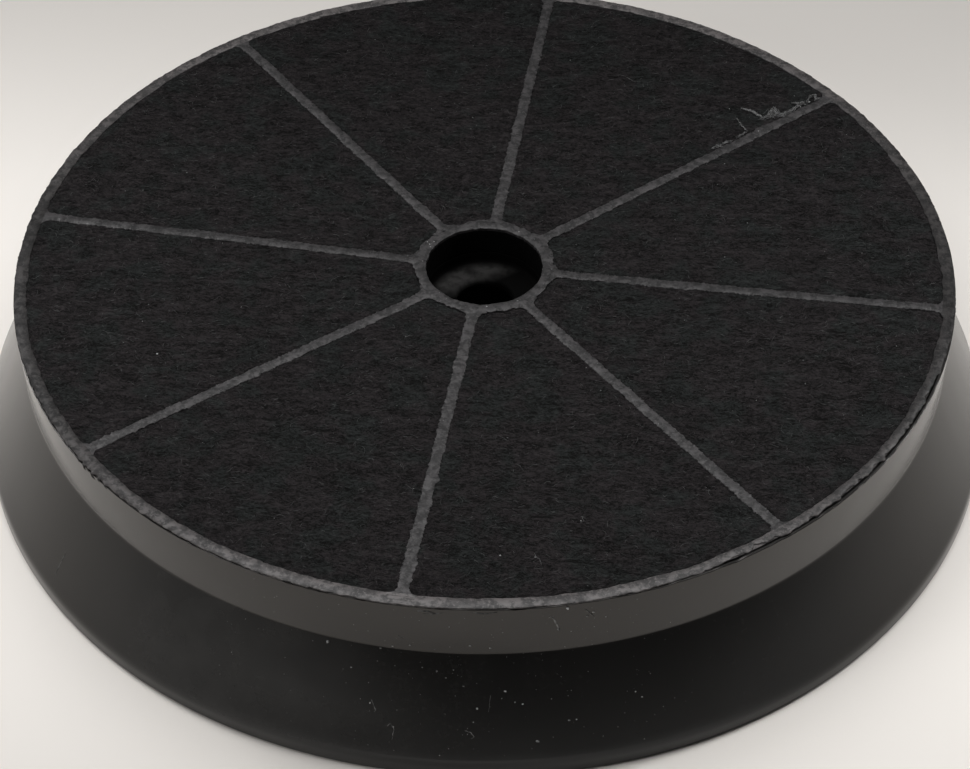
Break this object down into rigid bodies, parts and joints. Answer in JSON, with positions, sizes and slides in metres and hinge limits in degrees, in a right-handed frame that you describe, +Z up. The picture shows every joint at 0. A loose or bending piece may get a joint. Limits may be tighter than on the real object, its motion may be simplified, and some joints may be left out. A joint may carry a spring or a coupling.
{
  "type": "cooker hood carbon filter",
  "caption": "Round black cooker hood carbon filter: plastic housing with a flared skirt, spoked cover, felt discs and a charcoal bed round a bayonet hub.",
  "frame": {"origin": "centre of the foot rim, in the plane that the filter rests on", "axes": "+Z up along the filter's axis, from the foot rim to the spoked outlet face; +X along one spoke"},
  "size_m": [0.2106, 0.2106, 0.0367],
  "materials": {
    "housing_plastic": "semi-gloss moulded, warm black, dusty",
    "cover_plastic": "matt moulded black with ragged flash",
    "cover_felt": "black needle felt",
    "inlet_felt": "black needle felt",
    "charcoal": "matt black granules"
  },
  "bodies": {
    "root": {"housing": "housing_plastic", "cover_grille": "cover_plastic", "cover_felt": "cover_felt", "inlet_felt": "inlet_felt", "carbon_bed": "charcoal"}
  },
  "joints": []
}
